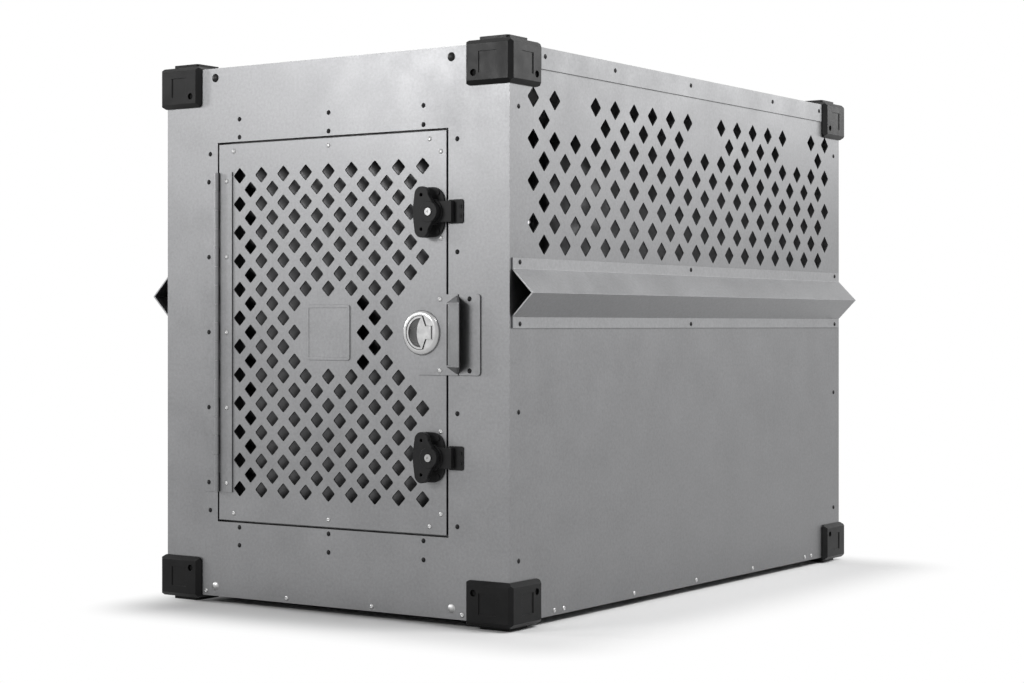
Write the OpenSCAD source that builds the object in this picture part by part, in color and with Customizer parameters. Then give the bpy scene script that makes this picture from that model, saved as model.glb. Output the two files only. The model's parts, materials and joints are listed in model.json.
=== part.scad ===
// Heavy duty dog crate: riveted aluminium sheet box with moulded corners, folded side
// handles and a vented front door on a continuous hinge. The door has a round slam latch
// and two rotary draw latches. Millimetres, +Z up, front towards -Y.

/* [Body] */
// Width over the side panels
body_w = 568; // [480:1:700]
// Length over the front and rear panels
body_l = 940; // [915:1:1200]
// Height over the floor and roof sheets
body_h = 713; // [680:1:900]
// Thickness of the aluminium sheet
sheet_t = 2; // [1.5:0.1:3]
// Drop of the roof's folded edge
roof_flange_h = 25; // [20:1:34]
// Rise of the floor pan's folded edge
floor_flange_h = 25; // [20:1:40]
// Depth of the folded returns of the front and rear panels
return_d = 34; // [28:1:44]
// Gap left between two folds that meet at a corner
fold_gap = 4; // [1:0.5:10]

/* [Corners] */
// Reach of a moulded corner along the front and sides
corner_len = 64; // [58:1:68]
// Reach of a moulded corner up or down the front and sides
corner_rise = 51; // [48:1:60]
// How far a corner stands off the front and sides
corner_proud = 8; // [6:0.5:12]
// How far a corner stands off the roof and floor
corner_cap = 4.5; // [3:0.5:8]
// Chamfer of a corner's outer edges
corner_chamfer = 5; // [2:0.5:7]
// Radius at the free corner of each leaf
corner_cut = 7; // [4:1:18]
// Side of the square foot or stacking pad
pad_w = 45; // [34:1:50]
// Height of the foot or stacking pad
pad_h = 5; // [3:0.5:12]
// Distance of a corner screw from the body's edge
corner_screw_in = 49; // [46:0.5:52]
// Distance of a corner screw from the roof or floor
corner_screw_z = 36; // [30:1:40]

/* [Handles] */
// Height of the handle over both flanges
handle_h = 86.6; // [76:0.2:110]
// Height of the folded vee
handle_vee_h = 59.4; // [50:0.2:66]
// Depth of the folded vee
handle_d = 31.6; // [22:0.2:45]
// Setback of the handle's ends from the body's ends
handle_inset = 4.5; // [2:0.5:10]
// Distance of the handle's middle below the roof
handle_drop = 307.5; // [295:0.5:330]

/* [Door] */
// Width of the door
door_w = 378; // [360:1:400]
// Height of the front panel's bands above and below the door
door_band = 104; // [86:0.5:110]
// Gap round the door
door_gap = 3; // [2:0.1:5]
// How far the door's face stands off the front panel
door_proud = 0.3; // [0.2:0.1:1]
// Width of the door's edge stiffener
stiffener_w = 20; // [16:1:24]
// Depth of the door's edge stiffener
stiffener_d = 12; // [8:1:18]
// Width of the door frame's flange behind the front panel
frame_flange_w = 42; // [40:1:50]
// Reach of the door stop behind the door
stop_w = 8; // [5:0.5:10]

/* [Vents] */
// Spacing of the door's vents across and up
door_vent_pitch = 38.1; // [36:0.1:40]
// Door vent from tip to tip
door_vent = 20.6; // [14:0.1:24]
// Most columns of the door's outer vents
door_vent_cols = 9; // [5:1:9]
// Most rows of the door's outer vents
door_vent_rows = 12; // [6:1:12]
// Least plain border round the door's vents
door_vent_border = 25; // [20:0.5:26]
// Spacing of the side vents along the crate
side_vent_pitch = 49.1; // [44:0.1:50]
// Spacing of the side vents up the crate
side_vent_rise = 52.2; // [46:0.1:54]
// Side vent from tip to tip
side_vent = 25.2; // [16:0.1:30]
// Most columns of the side's outer vents
side_vent_cols = 18; // [8:1:18]
// Most rows of each of the side's two vent sets
side_vent_rows = 4; // [2:1:4]
// Height of the top row of side vents under the roof
side_vent_top = 63.5; // [60:0.5:80]
// Radius at the tips of a vent
vent_tip_r = 1.8; // [0.8:0.1:3]

/* [Rivets] */
// Head radius of the black and silver rivets
rivet_r = 3.2; // [2.8:0.1:4.2]
// Head height of the rivets
rivet_h = 1.5; // [1:0.1:2]
// Shank radius of the rivets
shank_r = 2; // [1.6:0.1:2.4]
// Head radius of the four frame bolts on the front
bolt_head_r = 5.8; // [4:0.1:6]
// Head height of the four frame bolts on the front
bolt_head_h = 2; // [1:0.1:3]
// Distance of the floor rivets above the floor's underside
floor_rivet_z = 6.2; // [5.8:0.1:10]

/* [Hinge] */
// Distance of the hinge's ends from the door's top and bottom
hinge_end = 37.5; // [15:0.5:50]
// Width of each hinge leaf from the pin
hinge_leaf_w = 25.5; // [22:0.5:28]
// Thickness of the hinge leaves
hinge_t = 1.8; // [1.2:0.1:2]
// Outside radius of the knuckles
knuckle_r = 4; // [3.6:0.1:5]
// Radius of the hinge pin
hinge_pin_r = 2; // [1.5:0.1:2.4]
// Knuckles on the door leaf
knuckle_count = 8; // [4:1:12]
// Distance of the first and last hinge rivets from the hinge's ends
hinge_rivet_end = 12; // [8:0.5:30]

/* [Latch plate] */
// Height of the latch plate and the strike plate
plate_h = 100.7; // [94:0.1:106]
// Thickness of the latch plate and the strike plate
plate_t = 2; // [1.5:0.1:3]
// Reach of the latch plate onto the door
plate_in = 43; // [36:0.5:46]
// Reach of the latch plate's ears past the door's edge
ear_out = 18.9; // [15:0.1:19.5]
// Drop of the plates and the rotary latches below the door's middle
latch_drop = 2.6; // [0:0.1:6]
// Run of the finger scoop
scoop_run = 26; // [20:0.5:30]
// Rise of the finger scoop
scoop_rise = 13; // [8:0.5:16]
// Height of the finger scoop
scoop_h = 80; // [70:1:86]
// Start of the finger scoop past the door's edge
scoop_start = 3.6; // [3.2:0.1:6]
// Width of the slot between the plate and the finger scoop
scoop_slot_w = 1.9; // [1:0.1:2.5]
// Width of the strike plate
strike_w = 31.6; // [26:0.2:36]
// Start of the strike plate past the door's edge
strike_start = 20.7; // [20:0.1:24]

/* [Slam latch] */
// Outside diameter of the latch's rim
dish_d = 57; // [52:0.5:60]
// Diameter of the latch's cup
cup_d = 46; // [43:0.5:47]
// Depth of the latch's cup below the rim
cup_depth = 15; // [13:0.5:18]
// Wall of the latch's cup
cup_t = 1.5; // [1:0.1:2]
// Height of the domed rim
rim_h = 4.6; // [4:0.1:5.5]
// Thickness of the rim's cover over the cup
cover_t = 1.6; // [1.2:0.1:2]
// Distance of the latch's middle from the door's edge
dish_in = 36.6; // [36:0.1:38]
// Thickness of the paddle
paddle_t = 2.5; // [2:0.1:2.8]
// Diameter of the paddle's ring
paddle_d = 42; // [41:0.1:43]
// Width of the paddle's ring beside the finger hole
paddle_ring_w = 2.7; // [2:0.1:4]
// Distance of the finger hole's curved edge from the latch's middle
finger_edge = 5; // [2:0.1:7]
// Radius of the finger hole's curved edge
finger_edge_r = 30; // [26:1:40]
// Height of the paddle's tongue
tongue_h = 16.4; // [14:0.1:17]
// Gap round the paddle
paddle_gap = 0.7; // [0.4:0.1:0.8]
// Distance of the paddle's pivot from the latch's middle
paddle_pivot = 16; // [15:0.1:16.2]
// Radius of the paddle's pin
paddle_pin_r = 1.25; // [1:0.05:1.4]
// Width of the slam bolt
slam_bolt_w = 14; // [10:0.5:18]
// Thickness of the slam bolt
slam_bolt_t = 8; // [6:0.5:10]
// Wire diameter of the paddle's spring
spring_wire = 0.8; // [0.5:0.1:0.9]
// Turns of the paddle's spring
spring_turns = 3; // [2:1:4]

/* [Rotary latches] */
// Distance of a rotary latch's middle from the door's top or bottom
rotary_end = 99.1; // [80:0.1:107]
// Distance of a rotary latch's axis from the door's edge
rotary_in = 16.5; // [16.2:0.1:19]
// Width of the latch base
base_w = 47; // [45:0.5:50]
// Height of the latch base
base_h = 63; // [58:0.5:70]
// Thickness of the latch base
base_t = 2.5; // [2:0.1:4]
// Offset of the base from the axis, away from the door's edge
base_shift = 9; // [8:0.1:12]
// Radius of the drum on the base
drum_r = 16; // [15:0.5:17]
// Height of the drum above the base
drum_h = 6.5; // [6:0.1:9]
// Height of the knob over its wing's lobes
knob_h = 64; // [60:0.5:70]
// Radius of the knob's hub
hub_r = 13; // [12:0.5:14]
// Thickness of the knob's hub
hub_t = 7.2; // [6:0.1:9]
// Thickness of the knob's wing
wing_t = 6.5; // [5:0.1:9]
// Reach of the wing from the axis
wing_reach = 24; // [22:0.5:27]
// Radius of the wing's lobes
lobe_r = 10.5; // [9:0.5:12]
// Distance of the lobes from the axis along the wing's reach
lobe_in = 11.2; // [10:0.1:13]
// Width of the draw link
link_w = 26; // [20:0.5:28]
// Thickness of the draw link
link_t = 2.4; // [2:0.1:3]
// Travel of the draw link
link_travel = 5; // [3:0.5:5.5]
// Height of the keeper
keeper_h = 30; // [28:0.5:36]
// Width of the keeper
keeper_w = 23; // [22.5:0.5:26]
// Start of the keeper past the door's edge
keeper_start = 3.5; // [3.2:0.1:5]
// Thickness of the keeper's base
keeper_t = 1.5; // [1:0.1:2]
// Height of the keeper's lip off the front panel
keeper_lip_h = 4.6; // [3.5:0.1:5]
// Width of the keeper's lip
keeper_lip_w = 3; // [2:0.1:4]

/* [Badge] */
// Side of the blank badge on the door
badge_w = 72; // [50:1:76]
// Thickness of the blank badge
badge_t = 1.2; // [0.8:0.1:2]

/* [Hidden] */

aluminium = [0.73, 0.73, 0.74];
bright_aluminium = [0.82, 0.82, 0.83];
stainless = [0.78, 0.78, 0.77];
black_plastic = [0.07, 0.07, 0.075];
black_metal = [0.11, 0.11, 0.115];

// Overrun of every cut past the face that it opens
overrun = 1;
// Clearance between pieces that are put together or pass each other
clear = 0.3;
// Radial clearance of a pin in its bore
run_clear = 0.05;
// Sides of a small hole that a rivet fills
hole_sides = 12;

// Latch heights, counted outwards from the door's face
drum_top = base_t + drum_h;
knob_low = drum_top + clear;
hub_top = knob_low + hub_t;
hub_recess = 1;
knob_bolt_r = 4.8;
knob_bolt_h = 1.8;
knob_shaft_r = 3;
knob_head_low = hub_top - hub_recess;
latch_reach = door_proud + max(knob_low + wing_t, hub_top, knob_head_low + knob_bolt_h);
scoop_reach = door_proud + plate_t + scoop_rise;
front_reach = max(latch_reach, scoop_reach, corner_proud);

// Planes of the body, with the origin under the middle of the whole part
front_y = (front_reach - corner_proud - body_l) / 2;
rear_y = front_y + body_l;
mid_y = (front_y + rear_y) / 2;
side_x = body_w / 2;
base_z = corner_cap + pad_h;
top_z = base_z + body_h;
panel_h = body_h - sheet_t;
panel_z = base_z + panel_h / 2;
door_z = base_z + body_h / 2;
inner_x = side_x - sheet_t;
fold_x = inner_x - sheet_t;

// Door and handle places that follow the body's height
door_h = body_h - 2 * door_band;
handle_z = body_h - handle_drop;
hinge_len = door_h - 2 * hinge_end;
rotary_z = door_h / 2 - rotary_end;

// Door opening and its frame, with depths counted inwards from the front
open_w = door_w + 2 * door_gap;
open_h = door_h + 2 * door_gap;
door_back = sheet_t + stiffener_d - door_proud;
stop_depth = door_back + clear;
door_edge = door_w / 2;

// Rivet tails and hole
tail_r = 2.9;
tail_h = 1.4;
hole_r = shank_r + clear;
bolt_shank_r = 3;
bolt_tail_r = 4.8;

// Rivet rows of the front, counted from the door's edges, and of the sides
frame_rivet_near = 9;
frame_rivet_far = 33;
frame_rivet_in = 35.7;
frame_rivet_side = 16.6;
frame_corner_in = 11.5;
frame_right_share = 0.57;
frame_right_z = plate_h / 2 + frame_right_share * (rotary_z - (keeper_h + plate_h) / 2);
frame_bolt_in = 87.6;
frame_bolt_z = 13;
end_floor_shares = [0.125, 0.375];
side_floor_shares = [-0.369, -0.183, 0, 0.183, 0.369];
floor_rivet_end = 101;
side_rivet_in = 20;
side_rivet_low = 76;
side_rivet_below = 146.5;
side_rivet_top = 78;
side_rivet_z = [side_rivet_low, handle_z - side_rivet_below, body_h - side_rivet_top];
mid_rivet_share = -0.0202;
roof_rivet_shares = [-0.2383, mid_rivet_share, 0.2479];
roof_rivet_end = 77;
roof_rivet_z = 11;
handle_rivet_z = 38;

// Rivets of the door
door_rivet_in = 9.5;
door_rivet_side = 26;
door_rivet_end = 25.9;
hinge_rivet_x = 16;
hinge_rivets_each = 5;
plate_rivet_in = 8.5;
plate_rivet_z = 44.5;

// Hinge axis, in the middle of the gap and just off the front
hinge_x = -(door_edge + door_gap / 2);
hinge_level = knuckle_r + clear;
knuckle_gap = 0.5;
knuckle_pitch = hinge_len / (2 * knuckle_count + 1);

// Slam latch places
dish_x = door_edge - dish_in;
plate_x = door_edge - plate_in;
plate_level = door_proud + plate_t;
paddle_sink = 0.6;
paddle_front = plate_level + rim_h - paddle_sink;
spring_out = paddle_pin_r + clear + spring_wire;
paddle_level = paddle_front - paddle_t - spring_out - clear;
paddle_knuckle_r = spring_out + 3 * clear;
paddle_end = 1;
lug_h = 3;
lug_w = 6;
lug_z = (tongue_h + lug_h) / 2 + clear;
spring_space = 7;
guide_wall = 2;
bolt_depth = stop_depth + sheet_t + clear;
bolt_len = 42;
bolt_nose = 5;
bolt_nose_x = open_w / 2 - stop_w - 2 * clear;

// Rotary latch places
rotary_x = door_edge - rotary_in;
lobe_z = knob_h / 2 - lobe_r;
wing_hole_r = 2.2;
base_screw_in = 9.5;
base_screw_z = 24;
base_rivet_gap = 1;
base_rivet_z = base_h / 2 + base_rivet_gap;
drum_roof = 1.3;
link_slot_low = drum_h - drum_roof - link_t - 2 * clear;
link_low = door_proud + base_t + link_slot_low + clear;
hook_w = 2.6;
link_tail = 6;
keeper_screw_in = 4;
keeper_screw_z = 6;
keeper_screw_r = 2.3;
keeper_lip_start = 2;
hook_play = 1.5;
link_reach = keeper_start + keeper_lip_start + keeper_lip_w + hook_play + hook_w;

// Blank places of the vent fields: the side columns that lose their top vents
side_vent_blanks = [3, 10, 16];
badge_margin = 9;
slam_margin = 23.9;

// Dome of radius r and height h, as points from the crown to the rim
dome_steps = 6;
function dome_points(r, h) =
    let (ball = (r * r + h * h) / (2 * h), sweep = asin(r / ball))
    [for (i = [0:dome_steps])
        [ball * sin(sweep * i / dome_steps), h - ball + ball * cos(sweep * i / dome_steps)]];

// Places for local frames on the outside of each wall: x along, y up, z outwards
module on_front(x, z, level) {
    translate([x, front_y - level, z]) rotate([90, 0, 0]) children();
}

module on_rear(x, z, level) {
    translate([x, rear_y + level, z]) rotate([90, 0, 180]) children();
}

module on_right(y, z, level) {
    translate([side_x + level, y, z]) rotate([90, 0, 90]) children();
}

module on_left(y, z, level) {
    mirror([1, 0, 0]) on_right(y, z, level) children();
}

// Blind rivet: domed head on the face, shank through the sheets, bulb behind
module rivet(grip) {
    rotate_extrude()
        polygon(concat(
            dome_points(rivet_r, rivet_h),
            [[shank_r, 0], [shank_r, -grip], [tail_r, -grip],
             [tail_r, -grip - tail_h], [0, -grip - tail_h]]));
}

module rivet_holes(places) {
    for (p = places) translate(p) circle(r = hole_r, $fn = hole_sides);
}

module rounded_rect(w, h, r) {
    square([w - 2 * r, h], center = true);
    square([w, h - 2 * r], center = true);
    for (sx = [-1, 1], sy = [-1, 1])
        translate([sx * (w / 2 - r), sy * (h / 2 - r)]) circle(r = r, $fn = 48);
}

// Diamond vent, tip to tip, with its tips rounded by arcs of three points
tip_turns = [-45, 0, 45];
module diamond(size) {
    reach = size / 2 - vent_tip_r;
    polygon([for (side = [0:90:270], turn = tip_turns)
        [reach * cos(side) + vent_tip_r * cos(side + turn),
         reach * sin(side) + vent_tip_r * sin(side + turn)]]);
}

// Door vents keep clear of the badge, the slam latch and the rotary latches
function in_badge(x, z) =
    max(abs(x), abs(z)) < badge_w / 2 + badge_margin;
function in_slam(x, z) =
    norm([x - dish_x, z]) < dish_d / 2 + slam_margin
    || (x > plate_x - door_vent / 2 && abs(z) < (plate_h + door_vent) / 2);
function in_rotary(x, z) =
    x > rotary_x - base_shift - base_w / 2
    && abs(abs(z + latch_drop) - rotary_z) < (base_h + door_vent) / 2;
function door_vent_kept(x, z) = !in_badge(x, z) && !in_slam(x, z) && !in_rotary(x, z);

// Vents that a length has room for, up to the most that are wanted
function vents_in(room, size, pitch, most) = min(most, 1 + floor((room - size) / pitch));

module door_vents() {
    half = door_vent_pitch / 2;
    cols = vents_in(door_w - 2 * door_vent_border, door_vent, door_vent_pitch, door_vent_cols);
    rows = vents_in(door_h - 2 * door_vent_border, door_vent, door_vent_pitch, door_vent_rows);
    for (i = [0:2 * cols - 2], j = [0:2 * rows - 2]) {
        x = (i - cols + 1) * half;
        z = (j - rows + 1) * half;
        if ((i + j) % 2 == 0 && door_vent_kept(x, z)) translate([x, z]) diamond(door_vent);
    }
}

// Side vents: two interleaved sets, with a notch of blanks at some columns
function side_vent_kept(i, j) =
    len([for (c = side_vent_blanks)
        if ((j == 0 && i == 2 * c - 2) || (j == 1 && abs(i - 2 * c + 2) == 1)) c]) == 0;

module side_vents() {
    cols = vents_in(body_l - 2 * (return_d + fold_gap), side_vent, side_vent_pitch, side_vent_cols);
    drop = handle_drop - handle_h / 2 - side_vent_top + side_vent / 2;
    half_rows = vents_in(drop, side_vent, side_vent_rise / 2, 2 * side_vent_rows);
    for (i = [0:2 * cols - 2], j = [0:half_rows - 1])
        if ((i + j) % 2 == 0 && side_vent_kept(i, j))
            translate([(i - cols + 1) * side_vent_pitch / 2, -side_vent_top - j * side_vent_rise / 2])
                diamond(side_vent);
}

// Rivet places of the walls, in each wall's own frame about the door's or panel's middle
frame_rivet_places = concat(
    [for (sx = [-1, 0, 1], sz = [-1, 1], d = [frame_rivet_near, frame_rivet_far])
        [sx * (door_edge - frame_rivet_in), sz * (door_h / 2 + d)]],
    [for (sx = [-1, 1], sz = [-1, 1])
        [sx * (door_edge + frame_rivet_side), sz * (door_h / 2 - frame_corner_in)]],
    [for (sz = [-1, 1]) [door_edge + frame_rivet_side, sz * frame_right_z]]);
hinge_rivet_places = [for (i = [0:hinge_rivets_each - 1])
    (hinge_len - 2 * hinge_rivet_end) * (i / (hinge_rivets_each - 1) - 1 / 2)];
hinge_frame_places = [for (z = hinge_rivet_places) [hinge_x - hinge_rivet_x, z]];
hinge_door_places = [for (z = hinge_rivet_places) [hinge_x + hinge_rivet_x, z]];
strike_places = [for (sz = [-1, 1])
    [door_edge + strike_start + strike_w / 2, sz * plate_rivet_z - latch_drop]];
plate_places = [for (sz = [-1, 1]) [door_edge - plate_rivet_in, sz * plate_rivet_z - latch_drop]];
keeper_places = [for (sz = [-1, 1], st = [-1, 1])
    [door_edge + keeper_start + keeper_w - keeper_screw_in, latch_z(sz) + st * keeper_screw_z]];
function latch_z(sz) = sz * rotary_z - latch_drop;
base_edge_places = [for (sz = [-1, 1], st = [-1, 1])
    [rotary_x - base_shift + base_w / 2 - base_screw_in, latch_z(sz) + st * base_screw_z]];
base_inner_places = [for (sz = [-1, 1], st = [-1, 1])
    [rotary_x - base_shift - base_w / 2 + base_screw_in, latch_z(sz) + st * base_screw_z]];
door_rivet_places = concat(
    [for (sx = [-1, 0, 1], sz = [-1, 1])
        [sx * (door_edge - door_rivet_side), sz * (door_h / 2 - door_rivet_in)]],
    [for (sz = [-1, 1], z = [sz * (door_h / 2 - door_rivet_end), latch_z(sz) - sz * base_rivet_z])
        [door_edge - plate_rivet_in, z]]);
end_floor_places = [for (sx = [-1, 1], share = end_floor_shares)
    [sx * (side_x - share * body_w), base_z + floor_rivet_z - door_z]];
frame_bolt_places = [for (sx = [-1, 1], z = [base_z + frame_bolt_z, top_z - frame_bolt_z])
    [sx * (side_x - frame_bolt_in), z - door_z]];
corner_front_places = [for (sx = [-1, 1], z = [base_z + corner_screw_z, top_z - corner_screw_z])
    [sx * (side_x - corner_screw_in), z - door_z]];

side_column_places = [for (sy = [-1, 1], z = side_rivet_z)
    [sy * (body_l / 2 - side_rivet_in), z]];
handle_end_places = [for (sy = [-1, 1], sz = [-1, 1])
    [sy * (body_l / 2 - side_rivet_in), handle_z + sz * handle_rivet_z]];
handle_mid_places = [for (sz = [-1, 1])
    [mid_rivet_share * body_l, handle_z + sz * handle_rivet_z]];
roof_end_y = body_l / 2 - roof_rivet_end;
roof_places = [for (y = concat([-roof_end_y], roof_rivet_shares * body_l, [roof_end_y]))
    [y, body_h - roof_rivet_z]];
floor_end_y = body_l / 2 - floor_rivet_end;
side_floor_places = [for (y = concat([-floor_end_y], side_floor_shares * body_l, [floor_end_y]))
    [y, floor_rivet_z]];
corner_side_places = [for (sy = [-1, 1], z = [corner_screw_z, body_h - corner_screw_z])
    [sy * (body_l / 2 - corner_screw_in), z]];

// Floor pan: sheet floor with all four edges turned up inside the walls
module floor_pan() color(aluminium) {
    pan_w = 2 * inner_x;
    pan_l = body_l - 2 * sheet_t;
    translate([0, mid_y, base_z]) linear_extrude(sheet_t) square([pan_w, pan_l], center = true);
    for (s = [-1, 1]) {
        translate([s * (inner_x - sheet_t / 2), mid_y, base_z + floor_flange_h / 2])
            rotate([90, 0, 90])
            linear_extrude(sheet_t, center = true)
            difference() {
                square([pan_l - 2 * (sheet_t + fold_gap), floor_flange_h], center = true);
                translate([0, -floor_flange_h / 2]) rivet_holes(side_floor_places);
            }
        translate([0, mid_y + s * (pan_l - sheet_t) / 2, base_z + floor_flange_h / 2])
            rotate([90, 0, 0])
            linear_extrude(sheet_t, center = true)
            difference() {
                square([pan_w - 2 * (sheet_t + fold_gap), floor_flange_h], center = true);
                translate([0, door_z - base_z - floor_flange_h / 2]) {
                    rivet_holes(end_floor_places);
                    bolt_holes(frame_bolt_places);
                }
            }
    }
}

module bolt_holes(places) {
    for (p = places) translate(p) circle(r = bolt_shank_r + clear, $fn = hole_sides);
}

// Roof: sheet with its sides folded over the side panels and its ends inside the end panels
module roof_panel() color(aluminium) {
    roof_y = body_l - 2 * (corner_len + fold_gap);
    end_w = 2 * (fold_x - fold_gap);
    drop = roof_flange_h + sheet_t;
    translate([0, mid_y, top_z - sheet_t]) linear_extrude(sheet_t) {
        square([body_w, body_l], center = true);
        square([body_w + 2 * sheet_t, roof_y], center = true);
    }
    for (s = [-1, 1]) {
        translate([s * (side_x + sheet_t / 2), mid_y, base_z])
            rotate([90, 0, 90])
            linear_extrude(sheet_t, center = true)
            difference() {
                translate([-roof_y / 2, body_h - drop]) square([roof_y, drop]);
                rivet_holes(roof_places);
            }
        translate([0, mid_y + s * (body_l / 2 - sheet_t * 3 / 2), door_z])
            rotate([90, 0, 0])
            linear_extrude(sheet_t, center = true)
            difference() {
                translate([-end_w / 2, body_h / 2 - drop]) square([end_w, drop]);
                bolt_holes(frame_bolt_places);
            }
    }
}

// Side panel: flat sheet between the end panels, vented above the handle
module side_sheet() {
    linear_extrude(sheet_t)
        difference() {
            translate([-body_l / 2 + sheet_t, 0]) square([body_l - 2 * sheet_t, panel_h]);
            translate([0, body_h]) side_vents();
            rivet_holes(concat(side_column_places, handle_end_places, handle_mid_places));
            rivet_holes(concat(roof_places, side_floor_places, corner_side_places));
        }
}

module left_side_panel() color(aluminium)
    on_left(mid_y, base_z, -sheet_t) side_sheet();

module right_side_panel() color(aluminium)
    on_right(mid_y, base_z, -sheet_t) side_sheet();

// Folded returns of an end panel, inside the side panels, drawn in the end panel's frame
module end_returns(end_sign) {
    low = floor_flange_h + fold_gap;
    high = body_h - sheet_t - fold_gap;
    length = return_d - sheet_t / 2;
    middle = end_sign * (body_l - sheet_t - length) / 2;
    for (s = [-1, 1])
        translate([s * (inner_x - sheet_t / 2), mid_y, base_z])
            rotate([90, 0, 90])
            linear_extrude(sheet_t, center = true)
            difference() {
                translate([middle, (low + high) / 2]) square([length, high - low], center = true);
                rivet_holes(concat(side_column_places, handle_end_places));
            }
}

// Front panel: sheet with the door opening
module front_panel() color(aluminium) {
    on_front(0, door_z, -sheet_t)
        linear_extrude(sheet_t)
        difference() {
            translate([0, -sheet_t / 2]) square([body_w, panel_h], center = true);
            square([open_w, open_h], center = true);
            rivet_holes(concat(frame_rivet_places, hinge_frame_places, strike_places));
            rivet_holes(concat(keeper_places, end_floor_places, corner_front_places));
            bolt_holes(frame_bolt_places);
        }
    end_returns(-1);
}

// Rear panel: plain sheet with the same folded returns as the front
module rear_panel() color(aluminium) {
    on_rear(0, door_z, -sheet_t)
        linear_extrude(sheet_t)
        difference() {
            translate([0, -sheet_t / 2]) square([body_w, panel_h], center = true);
            rivet_holes(concat(end_floor_places, corner_front_places));
            bolt_holes(frame_bolt_places);
        }
    end_returns(1);
}

// Door frame: flange behind the front panel, jamb round the opening and a stop lip
module door_frame() color(aluminium) {
    on_front(0, door_z, -2 * sheet_t)
        linear_extrude(sheet_t)
        difference() {
            square([open_w + 2 * frame_flange_w, open_h + 2 * frame_flange_w], center = true);
            square([open_w, open_h], center = true);
            rivet_holes(concat(frame_rivet_places, hinge_frame_places));
            rivet_holes(concat(strike_places, keeper_places));
        }
    on_front(0, door_z, -stop_depth - sheet_t)
        linear_extrude(stop_depth)
        difference() {
            square([open_w + 2 * sheet_t, open_h + 2 * sheet_t], center = true);
            square([open_w, open_h], center = true);
        }
    on_front(0, door_z, -stop_depth - sheet_t)
        linear_extrude(sheet_t)
        difference() {
            square([open_w + 2 * sheet_t, open_h + 2 * sheet_t], center = true);
            square([open_w - 2 * stop_w, open_h - 2 * stop_w], center = true);
        }
}

// Side handle: one sheet folded to a full-length vee with a riveted flange above and below
module handle() {
    slope = norm([handle_d - sheet_t, handle_vee_h / 2]);
    shift = sheet_t * slope / (handle_vee_h / 2);
    inner_z = handle_vee_h / 2 * (handle_d - shift) / (handle_d - sheet_t);
    difference() {
        translate([side_x, mid_y + body_l / 2 - handle_inset, base_z + handle_z])
            rotate([90, 0, 0])
            linear_extrude(body_l - 2 * handle_inset)
            polygon([
                [0, handle_h / 2], [sheet_t, handle_h / 2], [sheet_t, handle_vee_h / 2],
                [handle_d, 0], [sheet_t, -handle_vee_h / 2], [sheet_t, -handle_h / 2],
                [0, -handle_h / 2], [0, -inner_z], [handle_d - shift, 0], [0, inner_z]]);
        on_right(mid_y, base_z, -overrun)
            linear_extrude(sheet_t + 2 * overrun)
            rivet_holes(concat(handle_end_places, handle_mid_places));
    }
}

module left_handle() color(aluminium) mirror([1, 0, 0]) handle();

module right_handle() color(aluminium) handle();

// Moulded corner, drawn with its outer point at the origin and its leaves along +X, +Y, +Z
screw_head_r = 4;
screw_head_h = 3;
panel_recess = 1;
panel_recess_w = 26;
pad_chamfer = 3;
leaf_bevel = 5.5;
leaf_bevel_share = 0.8;
// Outline of two leaves: the first runs along u, the second along v, each with its thickness
module corner_profile(u, v, first_t, second_t) {
    difference() {
        polygon([
            [corner_chamfer, 0], [u - leaf_bevel, 0], [u, leaf_bevel_share * first_t], [u, v],
            [leaf_bevel_share * second_t, v], [0, v - leaf_bevel], [0, corner_chamfer]]);
        translate([u - corner_cut, v - corner_cut]) difference() {
            square(corner_cut + overrun);
            circle(r = corner_cut);
        }
    }
}

module corner_piece() {
    reach = corner_len + corner_proud;
    reach_z = corner_rise + corner_cap;
    screw_u = corner_screw_in + corner_proud;
    screw_v = corner_screw_z + corner_cap;
    difference() {
        union() {
            intersection() {
                linear_extrude(reach_z)
                    corner_profile(reach, reach, corner_proud, corner_proud);
                translate([0, reach, 0]) rotate([90, 0, 0]) linear_extrude(reach)
                    corner_profile(reach, reach_z, corner_cap, corner_proud);
                rotate([90, 0, 90]) linear_extrude(reach)
                    corner_profile(reach, reach_z, corner_cap, corner_proud);
            }
            translate([reach / 2, reach / 2, -pad_h]) linear_extrude(pad_h)
                polygon([for (s = [[1, 1], [-1, 1], [-1, -1], [1, -1]], k = [0, 1])
                    [s[0] * (pad_w / 2 - pad_chamfer * ((s[0] * s[1] > 0) ? k : 1 - k)),
                     s[1] * (pad_w / 2 - pad_chamfer * ((s[0] * s[1] > 0) ? 1 - k : k))]]);
        }
        translate([corner_proud, corner_proud, corner_cap]) cube(reach);
        translate([screw_u, -overrun, screw_v]) rotate([-90, 0, 0]) screw_well();
        translate([-overrun, screw_u, screw_v]) rotate([0, 90, 0]) screw_well();
        translate([reach / 2, 0, reach_z / 2]) recess_block();
        translate([0, reach / 2, reach_z / 2]) rotate([0, 0, 90]) recess_block();
    }
}

module recess_block() {
    cube([panel_recess_w, 2 * panel_recess, panel_recess_w], center = true);
}

module screw_well() {
    cylinder(r = screw_head_r + clear, h = overrun + corner_proud - screw_head_h);
    cylinder(r = shank_r + clear, h = 2 * overrun + corner_proud);
}

// Put a corner at one of the eight corners of the body by signs of X, Y and Z
module corner_at(sx, sy, sz) color(black_plastic)
    translate([0, mid_y, base_z + body_h / 2])
        mirror([sx > 0 ? 1 : 0, 0, 0]) mirror([0, sy > 0 ? 1 : 0, 0]) mirror([0, 0, sz > 0 ? 1 : 0])
        translate([-side_x - corner_proud, -body_l / 2 - corner_proud, -body_h / 2 - corner_cap])
        corner_piece();

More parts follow.
